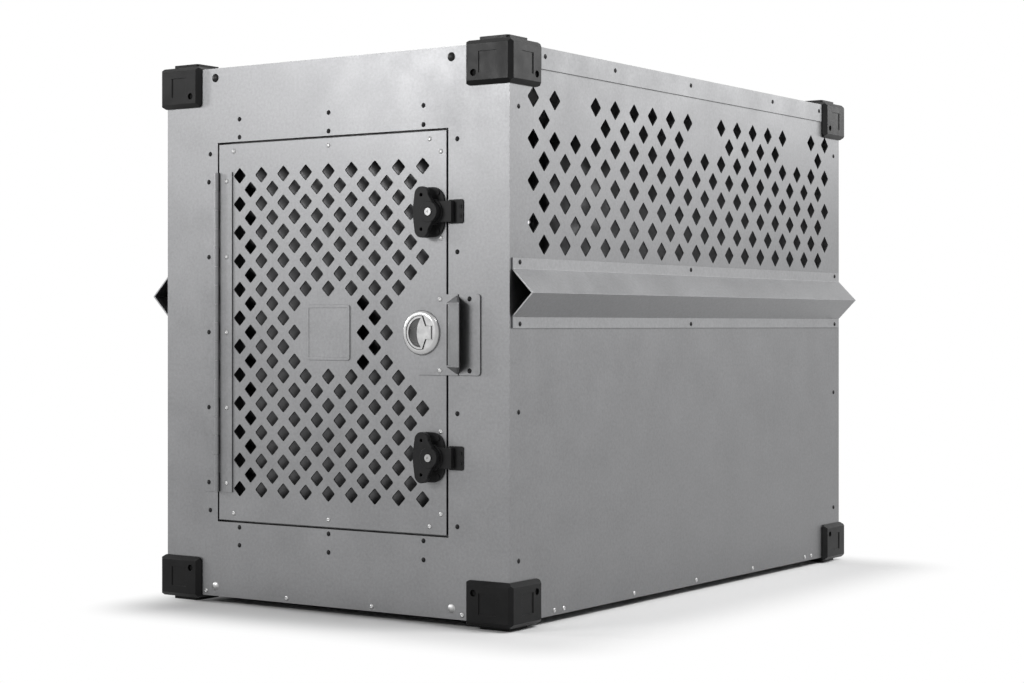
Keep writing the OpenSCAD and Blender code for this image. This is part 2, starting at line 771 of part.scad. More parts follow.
module front_left_top_corner() corner_at(-1, -1, 1);
module front_right_top_corner() corner_at(1, -1, 1);
module rear_left_top_corner() corner_at(-1, 1, 1);
module rear_right_top_corner() corner_at(1, 1, 1);
module front_left_bottom_corner() corner_at(-1, -1, -1);
module front_right_bottom_corner() corner_at(1, -1, -1);
module rear_left_bottom_corner() corner_at(-1, 1, -1);
module rear_right_bottom_corner() corner_at(1, 1, -1);

// Corner screws: pan heads sunk in their wells, with nuts behind the sheets
module corner_screw() {
    seat = screw_head_h;
    translate([0, 0, seat]) cylinder(r = screw_head_r - clear, h = screw_head_h * 2 / 3);
    translate([0, 0, -sheet_t]) cylinder(r = shank_r, h = seat + sheet_t + screw_head_h / 3);
    translate([0, 0, -sheet_t - tail_h]) cylinder(r = tail_r, h = tail_h);
}

module corner_screws() color(black_metal) {
    for (p = corner_front_places) {
        on_front(p[0], door_z + p[1], 0) corner_screw();
        on_rear(p[0], door_z + p[1], 0) corner_screw();
    }
    for (p = corner_side_places) {
        on_right(mid_y + p[0], base_z + p[1], 0) corner_screw();
        on_left(mid_y + p[0], base_z + p[1], 0) corner_screw();
    }
}

// Rivet groups of the body
module both_sides(places, level, grip) {
    for (p = places) {
        on_right(mid_y + p[0], base_z + p[1], level) rivet(grip);
        on_left(mid_y + p[0], base_z + p[1], level) rivet(grip);
    }
}

module roof_rivets() color(black_metal) both_sides(roof_places, sheet_t, 2 * sheet_t);

module side_rivets() color(black_metal) both_sides(side_column_places, 0, 2 * sheet_t);

module handle_rivets() color(black_metal) {
    both_sides(handle_end_places, sheet_t, 3 * sheet_t);
    both_sides(handle_mid_places, sheet_t, 2 * sheet_t);
}

module front_rivets() color(black_metal)
    for (p = frame_rivet_places) on_front(p[0], door_z + p[1], 0) rivet(2 * sheet_t);

module floor_rivets() color(bright_aluminium) {
    both_sides(side_floor_places, 0, 2 * sheet_t);
    for (p = end_floor_places) {
        on_front(p[0], door_z + p[1], 0) rivet(2 * sheet_t);
        on_rear(p[0], door_z + p[1], 0) rivet(2 * sheet_t);
    }
}

// Frame bolts: low button heads that tie the end panels to the roof and the floor
module frame_bolt() {
    rotate_extrude()
        polygon(concat(
            dome_points(bolt_head_r, bolt_head_h),
            [[bolt_shank_r, 0], [bolt_shank_r, -2 * sheet_t], [bolt_tail_r, -2 * sheet_t],
             [bolt_tail_r, -2 * sheet_t - 2 * tail_h], [0, -2 * sheet_t - 2 * tail_h]]));
}

module frame_bolts() color(stainless)
    for (p = frame_bolt_places) {
        on_front(p[0], door_z + p[1], 0) frame_bolt();
        on_rear(p[0], door_z + p[1], 0) frame_bolt();
    }

// Hinge leaf with its knuckles, in the front's frame about the pin: sx is its side of the pin
module hinge_leaf(sx, level, first, count, places) {
    flat_start = knuckle_r + knuckle_gap;
    difference() {
        union() {
            on_front(hinge_x, door_z, level)
                linear_extrude(hinge_t)
                difference() {
                    translate([sx > 0 ? flat_start : -hinge_leaf_w, -hinge_len / 2])
                        square([hinge_leaf_w - flat_start, hinge_len]);
                    translate([-hinge_x, 0]) rivet_holes(places);
                }
            for (i = [0:count - 1]) {
                low = -hinge_len / 2 + (first + 2 * i) * knuckle_pitch + knuckle_gap / 2;
                translate([hinge_x, front_y - hinge_level, door_z + low])
                    cylinder(r = knuckle_r, h = knuckle_pitch - knuckle_gap, $fn = 48);
                on_front(hinge_x, door_z, level)
                    linear_extrude(hinge_t)
                    translate([sx > 0 ? 0 : -flat_start - overrun, low])
                    square([flat_start + overrun, knuckle_pitch - knuckle_gap]);
            }
        }
        translate([hinge_x, front_y - hinge_level, door_z - hinge_len / 2 - overrun])
            cylinder(r = hinge_pin_r + run_clear, h = hinge_len + 2 * overrun, $fn = 48);
    }
}

module hinge_frame_leaf() color(aluminium)
    hinge_leaf(-1, 0, 0, knuckle_count + 1, hinge_frame_places);

module hinge_door_leaf() color(aluminium)
    hinge_leaf(1, door_proud, 1, knuckle_count, hinge_door_places);

module hinge_pin() color(stainless)
    translate([hinge_x, front_y - hinge_level, door_z - hinge_len / 2])
        cylinder(r = hinge_pin_r, h = hinge_len, $fn = 48);

module hinge_frame_rivets() color(black_metal)
    for (p = hinge_frame_places) on_front(p[0], door_z + p[1], hinge_t) rivet(hinge_t + 2 * sheet_t);

module hinge_door_rivets() color(bright_aluminium)
    for (p = hinge_door_places)
        on_front(p[0], door_z + p[1], hinge_t + door_proud) rivet(hinge_t + 2 * sheet_t);

// Strike plate: doubler on the frame beside the finger scoop
strike_corner_r = 4;
module strike_plate() color(aluminium)
    on_front(door_edge + strike_start + strike_w / 2, door_z - latch_drop, 0)
        linear_extrude(plate_t)
        difference() {
            union() {
                rounded_rect(strike_w, plate_h, strike_corner_r);
                translate([-strike_w / 2, -plate_h / 2]) square([strike_w / 2, plate_h]);
            }
            translate([-door_edge - strike_start - strike_w / 2, latch_drop]) rivet_holes(strike_places);
        }

module strike_rivets() color(black_metal)
    for (p = strike_places) on_front(p[0], door_z + p[1], plate_t) rivet(plate_t + 2 * sheet_t);

// Keeper: small base on the frame with a standing lip that a draw link hooks over
keeper_corner_r = 3;
module keeper(sz) color(black_metal) {
    on_front(door_edge + keeper_start + keeper_w / 2, door_z + latch_z(sz), 0) {
        linear_extrude(keeper_t)
            difference() {
                rounded_rect(keeper_w, keeper_h, keeper_corner_r);
                translate([-door_edge - keeper_start - keeper_w / 2, -latch_z(sz)])
                    rivet_holes(keeper_places);
            }
        linear_extrude(keeper_lip_h)
            translate([keeper_lip_start - keeper_w / 2, -link_w / 2]) square([keeper_lip_w, link_w]);
    }
}

module upper_keeper() keeper(1);
module lower_keeper() keeper(-1);

// Flat countersunk-style screw with a nut behind
module flat_screw(head_r, head_h, grip) {
    cylinder(r = head_r, h = head_h);
    translate([0, 0, -grip]) cylinder(r = shank_r, h = grip + head_h / 2);
    translate([0, 0, -grip - tail_h]) cylinder(r = tail_r, h = tail_h);
}

module keeper_screws() color(stainless)
    for (p = keeper_places)
        on_front(p[0], door_z + p[1], keeper_t)
            flat_screw(keeper_screw_r, rivet_h / 2, keeper_t + 2 * sheet_t);

// Door panel: vented sheet with the opening for the slam latch's cup
cup_hole_r = cup_d / 2 + cup_t + clear;
module door_panel() color(aluminium)
    on_front(0, door_z, door_proud - sheet_t)
        linear_extrude(sheet_t)
        difference() {
            square([door_w, door_h], center = true);
            door_vents();
            translate([dish_x, 0]) circle(r = cup_hole_r, $fn = 64);
            rivet_holes(concat(door_rivet_places, hinge_door_places));
            rivet_holes(concat(plate_places, base_edge_places, base_inner_places));
        }

// Door stiffener: angle frame behind the door's edges, cut back round the latch cup
module door_stiffener() color(aluminium)
    on_front(0, door_z, door_proud - sheet_t - stiffener_d)
        difference() {
            linear_extrude(stiffener_d) square([door_w, door_h], center = true);
            translate([0, 0, -overrun]) linear_extrude(stiffener_d - sheet_t + overrun)
                square([door_w - 2 * sheet_t, door_h - 2 * sheet_t], center = true);
            translate([0, 0, -overrun]) linear_extrude(stiffener_d + 2 * overrun) {
                square([door_w - 2 * stiffener_w, door_h - 2 * stiffener_w], center = true);
                translate([dish_x, 0]) circle(r = cup_hole_r, $fn = 64);
                rivet_holes(concat(door_rivet_places, hinge_door_places));
                rivet_holes(concat(plate_places, base_edge_places));
            }
        }

module door_rivets() color(bright_aluminium)
    for (p = door_rivet_places) on_front(p[0], door_z + p[1], door_proud) rivet(2 * sheet_t);

// Latch plate: doubler under the slam latch, slotted where a finger scoop is pressed out past the edge
ear_tip = 1.65;
slot_end = scoop_h / 2 - plate_t;
module scoop_gusset(sz) {
    hull() {
        for (p = [[scoop_start, scoop_h / 2, 0], [ear_out, plate_h / 2 - ear_tip, 0],
                  [scoop_start + scoop_run, scoop_h / 2, scoop_rise]])
            translate([p[0] - plate_t, sz > 0 ? p[1] - plate_t : -p[1], p[2]]) cube(plate_t);
    }
}

module latch_plate() color(aluminium)
    on_front(0, door_z - latch_drop, door_proud) {
        linear_extrude(plate_t)
            difference() {
                union() {
                    translate([door_edge, 0])
                        polygon([
                            [-plate_in, plate_h / 2], [ear_out, plate_h / 2],
                            [ear_out, plate_h / 2 - ear_tip], [scoop_start, scoop_h / 2],
                            [scoop_start, slot_end], [scoop_start - scoop_slot_w, slot_end],
                            [scoop_start - scoop_slot_w, -slot_end], [scoop_start, -slot_end],
                            [scoop_start, -scoop_h / 2], [ear_out, -plate_h / 2 + ear_tip],
                            [ear_out, -plate_h / 2], [-plate_in, -plate_h / 2]]);
                    translate([dish_x, latch_drop]) circle(r = dish_d / 2, $fn = 96);
                }
                translate([dish_x, latch_drop]) circle(r = cup_hole_r, $fn = 64);
                translate([0, latch_drop]) rivet_holes(plate_places);
            }
        translate([door_edge + scoop_start, scoop_h / 2, 0]) rotate([90, 0, 0])
            linear_extrude(scoop_h)
            polygon([
                [0, 0], [scoop_run, scoop_rise],
                [scoop_run, scoop_rise + plate_t], [0, plate_t]]);
        translate([door_edge, 0, 0]) {
            scoop_gusset(1);
            scoop_gusset(-1);
        }
    }

module latch_plate_rivets() color(bright_aluminium)
    for (p = plate_places) on_front(p[0], door_z + p[1], plate_level) rivet(plate_t + 2 * sheet_t);

// Blank badge: plain square pressing with a raised border
badge_border = 4;
module badge_plate() color(aluminium)
    on_front(0, door_z, door_proud)
        difference() {
            linear_extrude(badge_t) rounded_rect(badge_w, badge_w, badge_border);
            translate([0, 0, badge_t / 2]) linear_extrude(badge_t)
                square(badge_w - 2 * badge_border, center = true);
        }

// Slam latch body: domed cover and cup in one, lugs for the paddle's pin, bolt guide behind
crown_lip = 1;
crown_r = paddle_d / 2 + paddle_gap + crown_lip;
cup_r = cup_d / 2;
module slam_latch_body() color(stainless)
    difference() {
        union() {
            difference() {
                on_front(dish_x, door_z, plate_level)
                    rotate_extrude($fn = 96)
                    polygon(concat(
                        [[0, rim_h]],
                        rim_points(),
                        [[cup_r + cup_t, 0], [cup_r + cup_t, -cup_depth - cup_t], [0, -cup_depth - cup_t]]));
                on_front(dish_x, door_z, plate_level - cup_depth)
                    cylinder(r = cup_r, h = cup_depth + rim_h - cover_t, $fn = 96);
                on_front(dish_x, door_z, plate_level)
                    linear_extrude(rim_h + overrun)
                    paddle_outline(paddle_gap, lift_room, paddle_pivot + paddle_knuckle_r + paddle_end);
            }
            on_front(dish_x, door_z, plate_level - cup_depth - cup_t / 2)
                for (sz = [-1, 1])
                    translate([paddle_pivot - lug_w / 2, sz * lug_z - lug_h / 2, 0])
                        cube([lug_w, lug_h, cup_depth + cup_t / 2 + rim_h - cover_t / 2]);
            guide_block();
        }
        guide_channel();
        paddle_axis() cylinder(r = paddle_pin_r, h = pin_len, center = true, $fn = 32);
    }

// Quarter dome of the rim, from its crown to its outer edge
rim_steps = 8;
function rim_points() =
    [for (i = [0:rim_steps])
        [crown_r + (dish_d / 2 - crown_r) * sin(90 * i / rim_steps), rim_h * cos(90 * i / rim_steps)]];

// Outline of the paddle: a ring whose right side draws in to a tongue that ends at the pivot.
// Its hole in the cover leaves room on the right, because the paddle swings that way as it lifts.
shoulder = 3;
flank_run = 5;
lift_room = 1.9;
module paddle_outline(gap, room, end) {
    reach = paddle_d / 2 + gap;
    half = tongue_h / 2 + gap;
    near = shoulder + gap + room;
    far = near + flank_run;
    intersection() {
        circle(r = reach, $fn = 96);
        polygon([
            [-reach, reach], [near, reach], [far, half], [end, half],
            [end, -half], [far, -half], [near, -reach], [-reach, -reach]]);
    }
}

pin_len = tongue_h + 2 * (clear + lug_h);

module paddle_axis() {
    translate([dish_x + paddle_pivot, front_y - paddle_level, door_z]) children();
}

// Guide behind the cup in which the slam bolt slides
guide_len = 34;
module guide_block() {
    depth = plate_level - cup_depth - cup_t / 2;
    back = -(bolt_depth + slam_bolt_t + clear + guide_wall);
    translate([dish_x - guide_len / 2, front_y - depth, door_z - slam_bolt_w / 2 - guide_wall - clear])
        cube([guide_len, depth - back, slam_bolt_w + 2 * (guide_wall + clear)]);
}

module guide_channel() {
    translate([dish_x, front_y + bolt_depth + slam_bolt_t / 2, door_z])
        cube([guide_len + 2 * overrun, slam_bolt_t + 2 * clear, slam_bolt_w + 2 * clear], center = true);
}

module paddle_pin() color(stainless)
    paddle_axis() cylinder(r = paddle_pin_r, h = pin_len, center = true, $fn = 32);

// Paddle spring: close coil round the pin, one tube swept along a helix
spring_sides = 6;
spring_rings = 8;
spring_r = spring_out - spring_wire / 2;
spring_rise = (spring_space - spring_wire - 2 * clear) / spring_turns;
function spring_point(i, k) =
    let (turn = 360 * i / spring_rings, side = 360 * k / spring_sides,
         r = spring_r + spring_wire / 2 * cos(side))
    [r * cos(turn), r * sin(turn),
     spring_rise * i / spring_rings - spring_turns * spring_rise / 2 + spring_wire / 2 * sin(side)];

module paddle_spring() color(stainless) {
    count = spring_turns * spring_rings;
    points = [for (i = [0:count], k = [0:spring_sides - 1]) spring_point(i, k)];
    walls = [for (i = [0:count - 1], k = [0:spring_sides - 1])
        let (a = i * spring_sides + k, b = i * spring_sides + (k + 1) % spring_sides)
        each [[a, b, a + spring_sides], [b, b + spring_sides, a + spring_sides]]];
    caps = [[for (k = [spring_sides - 1:-1:0]) k],
            [for (k = [0:spring_sides - 1]) count * spring_sides + k]];
    paddle_axis() polyhedron(points, concat(walls, caps), convexity = 6);
}

// Paddle: ring and tongue with a crescent finger hole, and two knuckles on the pin under the tongue
module slam_paddle() color(stainless)
    difference() {
        union() {
            on_front(dish_x, door_z, paddle_front - paddle_t)
                linear_extrude(paddle_t)
                difference() {
                    paddle_outline(0, 0, paddle_pivot + paddle_end);
                    difference() {
                        circle(r = paddle_d / 2 - paddle_ring_w, $fn = 96);
                        translate([finger_edge_r - finger_edge, 0]) circle(r = finger_edge_r, $fn = 128);
                    }
                }
            paddle_axis() cylinder(r = paddle_knuckle_r, h = tongue_h, center = true, $fn = 32);
        }
        paddle_axis() {
            cylinder(r = paddle_pin_r + run_clear, h = tongue_h + overrun, center = true, $fn = 32);
            cylinder(r = spring_out + clear, h = spring_space, center = true, $fn = 32);
        }
    }

// Slam bolt: flat bar with a ramped nose, sliding in the guide behind the cup
module slam_bolt() color(stainless)
    translate([bolt_nose_x, front_y + bolt_depth, door_z + slam_bolt_w / 2])
        rotate([0, 180, 0])
        linear_extrude(slam_bolt_w)
        polygon([
            [0, 0], [bolt_len, 0], [bolt_len, slam_bolt_t],
            [bolt_nose, slam_bolt_t], [0, slam_bolt_t / 3]]);

// Rotary latch base: rounded foot with a drum that is slotted for the draw link
base_corner_r = 18;
module latch_base(sz) color(black_plastic)
    on_front(rotary_x, door_z + latch_z(sz), door_proud)
        difference() {
            union() {
                translate([-base_shift, 0, 0])
                    linear_extrude(base_t)
                    rounded_rect(base_w, base_h, base_corner_r);
                cylinder(r = drum_r, h = drum_top, $fn = 64);
            }
            translate([-link_tail - clear, -link_w / 2 - clear, base_t + link_slot_low])
                cube([drum_r + link_tail + overrun, link_w + 2 * clear, link_t + 2 * clear]);
            translate([0, 0, base_t / 2]) cylinder(r = knob_shaft_r + run_clear, h = drum_top, $fn = 48);
            for (su = [-1, 1], st = [-1, 1])
                translate([su * (base_w / 2 - base_screw_in) - base_shift, st * base_screw_z, -overrun])
                    cylinder(r = hole_r, h = base_t + 2 * overrun);
        }

module upper_latch_base() latch_base(1);
module lower_latch_base() latch_base(-1);

module latch_base_screws() color(stainless) {
    level = door_proud + base_t;
    for (p = base_edge_places)
        on_front(p[0], door_z + p[1], level) flat_screw(rivet_r, rivet_h, base_t + 2 * sheet_t);
    for (p = base_inner_places)
        on_front(p[0], door_z + p[1], level) flat_screw(rivet_r, rivet_h, base_t + sheet_t);
}

// Knob: round hub with a wing on one side, a hole in each lobe and a recess for the bolt's head
wing_waist = 5.5;
waist_z = 12.5;
wing_back_z = 6;
module wing_outline() {
    for (st = [-1, 1]) translate([-lobe_in, st * lobe_z]) circle(r = lobe_r, $fn = 48);
    polygon([
        [-lobe_in - lobe_r, lobe_z], [-wing_reach, wing_back_z], [-wing_reach, -wing_back_z],
        [-lobe_in - lobe_r, -lobe_z], [-lobe_in + lobe_r, -lobe_z], [wing_waist, -waist_z],
        [wing_waist, waist_z], [-lobe_in + lobe_r, lobe_z]]);
}

module latch_knob(sz) color(black_plastic)
    on_front(rotary_x, door_z + latch_z(sz), door_proud + knob_low)
        difference() {
            union() {
                cylinder(r = hub_r, h = hub_t, $fn = 64);
                linear_extrude(wing_t) wing_outline();
            }
            translate([0, 0, -overrun])
                cylinder(r = knob_shaft_r + run_clear, h = hub_t + 2 * overrun, $fn = 48);
            translate([0, 0, hub_t - hub_recess])
                cylinder(r = knob_bolt_r + 2 * clear, h = hub_recess + overrun, $fn = 48);
            for (st = [-1, 1])
                translate([-lobe_in, st * lobe_z, -overrun])
                    cylinder(r = wing_hole_r, h = wing_t + 2 * overrun, $fn = 32);
        }

module upper_latch_knob() latch_knob(1);
module lower_latch_knob() latch_knob(-1);

// Knob bolt: round head with a drilled middle, and the shaft that turns in the drum
bolt_drill_r = 1.4;
module knob_bolt(sz) color(stainless)
    on_front(rotary_x, door_z + latch_z(sz), door_proud)
        difference() {
            union() {
                translate([0, 0, knob_head_low]) cylinder(r = knob_bolt_r, h = knob_bolt_h, $fn = 48);
                translate([0, 0, base_t])
                    cylinder(r = knob_shaft_r, h = knob_head_low + knob_bolt_h / 2 - base_t, $fn = 48);
            }
            translate([0, 0, knob_head_low + knob_bolt_h / 2])
                cylinder(r = bolt_drill_r, h = knob_bolt_h, $fn = 24);
        }

module upper_knob_bolt() knob_bolt(1);
module lower_knob_bolt() knob_bolt(-1);

// Draw link: flat strap that slides in the drum and hooks down past the keeper's lip
module latch_link(sz) color(black_metal) {
    reach = rotary_in + link_reach;
    hook_low = keeper_t + clear;
    on_front(rotary_x, door_z + latch_z(sz), 0)
        difference() {
            union() {
                translate([-link_tail, -link_w / 2, link_low]) cube([link_tail + reach, link_w, link_t]);
                translate([reach - hook_w, -link_w / 2, hook_low])
                    cube([hook_w, link_w, link_low + link_t - hook_low]);
            }
            translate([-link_travel, 0, 0]) cylinder(r = knob_shaft_r + clear, h = hub_top, $fn = 48);
            cylinder(r = knob_shaft_r + clear, h = hub_top, $fn = 48);
            translate([-link_travel, -knob_shaft_r - clear, 0])
                cube([link_travel, 2 * (knob_shaft_r + clear), hub_top]);
        }
}

module upper_latch_link() latch_link(1);
module lower_latch_link() latch_link(-1);

floor_pan();
roof_panel();
left_side_panel();
right_side_panel();
rear_panel();
front_panel();
door_frame();
left_handle();
right_handle();
front_left_top_corner();
front_right_top_corner();
rear_left_top_corner();
rear_right_top_corner();
front_left_bottom_corner();
front_right_bottom_corner();
rear_left_bottom_corner();
rear_right_bottom_corner();
corner_screws();
roof_rivets();
side_rivets();
handle_rivets();
front_rivets();
floor_rivets();
frame_bolts();
hinge_frame_leaf();
hinge_pin();
hinge_frame_rivets();
strike_plate();
strike_rivets();
upper_keeper();
lower_keeper();
keeper_screws();
door_panel();
door_stiffener();
hinge_door_leaf();
hinge_door_rivets();
door_rivets();
latch_plate();
latch_plate_rivets();
badge_plate();
slam_latch_body();
paddle_pin();
paddle_spring();
slam_paddle();
slam_bolt();
upper_latch_base();
lower_latch_base();
latch_base_screws();
upper_latch_knob();
lower_latch_knob();
upper_knob_bolt();
lower_knob_bolt();
upper_latch_link();
lower_latch_link();
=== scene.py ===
import json
import math

import bmesh
import bpy
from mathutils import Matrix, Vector

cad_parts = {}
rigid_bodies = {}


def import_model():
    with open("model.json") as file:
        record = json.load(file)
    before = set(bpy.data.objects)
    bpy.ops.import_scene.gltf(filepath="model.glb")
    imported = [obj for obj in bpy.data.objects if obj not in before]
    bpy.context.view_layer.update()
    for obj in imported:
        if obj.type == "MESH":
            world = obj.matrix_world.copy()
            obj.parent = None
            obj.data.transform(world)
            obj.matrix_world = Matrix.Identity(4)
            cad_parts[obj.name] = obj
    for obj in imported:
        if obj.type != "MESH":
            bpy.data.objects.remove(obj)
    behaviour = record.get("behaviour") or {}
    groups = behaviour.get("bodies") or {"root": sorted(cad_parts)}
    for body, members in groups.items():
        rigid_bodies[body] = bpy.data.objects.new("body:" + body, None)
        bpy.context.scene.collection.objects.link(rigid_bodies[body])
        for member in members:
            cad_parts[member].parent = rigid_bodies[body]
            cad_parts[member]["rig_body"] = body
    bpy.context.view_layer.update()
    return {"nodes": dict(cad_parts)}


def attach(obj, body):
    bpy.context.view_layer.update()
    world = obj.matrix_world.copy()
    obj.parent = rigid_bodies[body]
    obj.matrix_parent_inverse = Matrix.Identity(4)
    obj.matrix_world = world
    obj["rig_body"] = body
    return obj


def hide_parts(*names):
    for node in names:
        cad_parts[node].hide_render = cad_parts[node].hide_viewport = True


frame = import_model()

scene = bpy.context.scene
scene.view_settings.view_transform = "Standard"


# The view: the crate is seen from its front right at the height of its middle,
# with a long lens, upright, and framed a little below the lens axis.
view_place = (1.6853, -2.5343, 0.3755)
view_upright = math.radians(90)
view_turn = math.radians(34.04)
view_camera = bpy.data.cameras.new("view_camera")
view_camera.lens = 71.97
view_camera.sensor_width = 36.0
view_camera.shift_y = -0.016
view_holder = bpy.data.objects.new("view_camera", view_camera)
view_holder.location = view_place
view_holder.rotation_euler = (view_upright, 0, view_turn)
scene.collection.objects.link(view_holder)
scene.camera = view_holder


# The studio floor: a wide pale sheet that takes the crate's soft shadow. Well away
# from the crate it turns into plain white, so that no edge of the floor shows.
floor_half = 30.0
floor_tone = (0.78, 0.78, 0.78)
floor_dullness = 0.9
floor_shine = 0.1
shadow_middle = (0.08, -0.05, 0)
shadow_half = (0.28, 0.46, 0)
shadow_fade = 0.15


def new_finish(name):
    finish = bpy.data.materials.new(name)
    finish.use_nodes = True
    nodes = finish.node_tree.nodes
    return finish, nodes, finish.node_tree.links, nodes["Principled BSDF"]


def plain_mesh(name, shape):
    mesh = bpy.data.meshes.new(name)
    shape.to_mesh(mesh)
    shape.free()
    piece = bpy.data.objects.new(name, mesh)
    scene.collection.objects.link(piece)
    return piece


def place_step(nodes, links, operation, place, other=(0, 0, 0)):
    step = nodes.new("ShaderNodeVectorMath")
    step.operation = operation
    step.inputs[1].default_value = other
    links.new(place, step.inputs[0])
    return step.outputs["Value" if operation == "LENGTH" else "Vector"]


def number_step(nodes, links, operation, first, second):
    step = nodes.new("ShaderNodeMath")
    step.operation = operation
    links.new(first, step.inputs[0])
    links.new(second, step.inputs[1])
    return step.outputs[0]


def seen_or_mirrored_rays(nodes, links):
    rays = nodes.new("ShaderNodeLightPath")
    seen, mirrored, through = (rays.outputs[f"Is {kind} Ray"]
                               for kind in ("Camera", "Glossy", "Transmission"))
    either = number_step(nodes, links, "MAXIMUM", seen, mirrored)
    return number_step(nodes, links, "MAXIMUM", either, through)


floor_shape = bmesh.new()
bmesh.ops.create_grid(floor_shape, x_segments=1, y_segments=1, size=floor_half)
studio_floor = plain_mesh("studio_floor", floor_shape)
floor_finish, nodes, links, floor_coat = new_finish("studio_floor_white")
floor_coat.inputs["Base Color"].default_value = (*floor_tone, 1)
floor_coat.inputs["Roughness"].default_value = floor_dullness
floor_coat.inputs["Specular IOR Level"].default_value = floor_shine
floor_place = nodes.new("ShaderNodeTexCoord")
from_middle = place_step(nodes, links, "SUBTRACT", floor_place.outputs["Object"], shadow_middle)
to_each_side = place_step(nodes, links, "ABSOLUTE", from_middle)
past_shadow = place_step(nodes, links, "SUBTRACT", to_each_side, shadow_half)
outside_shadow = place_step(nodes, links, "MAXIMUM", past_shadow)
floor_distance = place_step(nodes, links, "LENGTH", outside_shadow)
floor_fade = nodes.new("ShaderNodeMapRange")
floor_fade.interpolation_type = "SMOOTHSTEP"
floor_fade.inputs["From Min"].default_value = 0.0
floor_fade.inputs["From Max"].default_value = shadow_fade
links.new(floor_distance, floor_fade.inputs["Value"])
fade_when_seen = number_step(nodes, links, "MULTIPLY", floor_fade.outputs["Result"],
                             seen_or_mirrored_rays(nodes, links))
floor_white = nodes.new("ShaderNodeEmission")
floor_white.inputs["Strength"].default_value = 1.0
floor_mix = nodes.new("ShaderNodeMixShader")
links.new(fade_when_seen, floor_mix.inputs[0])
links.new(floor_coat.outputs[0], floor_mix.inputs[1])
links.new(floor_white.outputs[0], floor_mix.inputs[2])
links.new(floor_mix.outputs[0], nodes["Material Output"].inputs["Surface"])
studio_floor.data.materials.append(floor_finish)


# The studio light: a pale room that is seen and mirrored as plain white, a soft box at the
# front left that the door's sheet mirrors, a small one far to the left that throws the
# shadows, a larger one over the right side, and one far back that the side's sheet mirrors.
room_glow = 0.12
room_white = 1.0
room = bpy.data.worlds.new("studio_room")
scene.world = room
room.use_nodes = True
nodes, links = room.node_tree.nodes, room.node_tree.links
room_light = nodes["Background"]
room_light.inputs["Color"].default_value = (1, 1, 1, 1)
room_seen = nodes.new("ShaderNodeMapRange")
room_seen.inputs["To Min"].default_value = room_glow
room_seen.inputs["To Max"].default_value = room_white
links.new(seen_or_mirrored_rays(nodes, links), room_seen.inputs["Value"])
links.new(room_seen.outputs["Result"], room_light.inputs["Strength"])


def soft_box(name, place, aim, wide, high, power):
    lamp = bpy.data.lights.new(name, "AREA")
    lamp.shape = "RECTANGLE"
    lamp.size = wide
    lamp.size_y = high
    lamp.energy = power
    holder = bpy.data.objects.new(name, lamp)
    holder.location = place
    holder.rotation_euler = (Vector(aim) - Vector(place)).to_track_quat("-Z", "Y").to_euler()
    scene.collection.objects.link(holder)


soft_box("front_left_box", place=(-0.88, -2.15, 1.07), aim=(0.1, -0.45, 0.5),
         wide=0.8, high=0.3, power=13.8)
soft_box("low_left_box", place=(-3.5, -1.75, 1.3), aim=(0.05, -0.46, 0.42),
         wide=0.45, high=0.45, power=36)
soft_box("over_right_box", place=(1.7, 0.0, 1.9), aim=(0.25, 0.2, 0.5),
         wide=1.4, high=0.9, power=50)
soft_box("back_right_box", place=(1.7, 2.3, 1.15), aim=(0.28, 0.0, 0.6),
         wide=1.6, high=0.4, power=11.5)


# The body sheets: roof, floor, two vented sides, front, back and the frame behind the
# front, all cut and folded from mill-finish aluminium and riveted along their edges.
mill_tone = (0.215, 0.216, 0.220)
pattern_low = 0.3
pattern_high = 0.7


def shaded(tone, part):
    return [t * part for t in tone]


def cloud_pattern(nodes, links, place, scale, detail=2.0, roughness=0.5):
    pattern = nodes.new("ShaderNodeTexNoise")
    pattern.inputs["Scale"].default_value = scale
    pattern.inputs["Detail"].default_value = detail
    pattern.inputs["Roughness"].default_value = roughness
    links.new(place, pattern.inputs["Vector"])
    return pattern.outputs["Fac"]


def tone_by(nodes, links, pattern, skin, *stops):
    shade = nodes.new("ShaderNodeValToRGB")
    ramp = shade.color_ramp.elements
    ramp[0].position = stops[0][0]
    ramp[1].position = stops[-1][0]
    for position, _ in stops[1:-1]:
        ramp.new(position)
    for element, (_, tone) in zip(ramp, stops):
        element.color = (*tone, 1)
    links.new(pattern, shade.inputs["Fac"])
    links.new(shade.outputs["Color"], skin.inputs["Base Color"])


def dull_by(nodes, links, pattern, skin, low, high):
    dullness = nodes.new("ShaderNodeMapRange")
    dullness.inputs["From Min"].default_value = pattern_low
    dullness.inputs["From Max"].default_value = pattern_high
    dullness.inputs["To Min"].default_value = low
    dullness.inputs["To Max"].default_value = high
    links.new(pattern, dullness.inputs["Value"])
    links.new(dullness.outputs["Result"], skin.inputs["Roughness"])


def tooth_by(nodes, links, pattern, skin, strength, depth):
    tooth = nodes.new("ShaderNodeBump")
    tooth.inputs["Strength"].default_value = strength
    tooth.inputs["Distance"].default_value = depth
    links.new(pattern, tooth.inputs["Height"])
    links.new(tooth.outputs["Normal"], skin.inputs["Normal"])


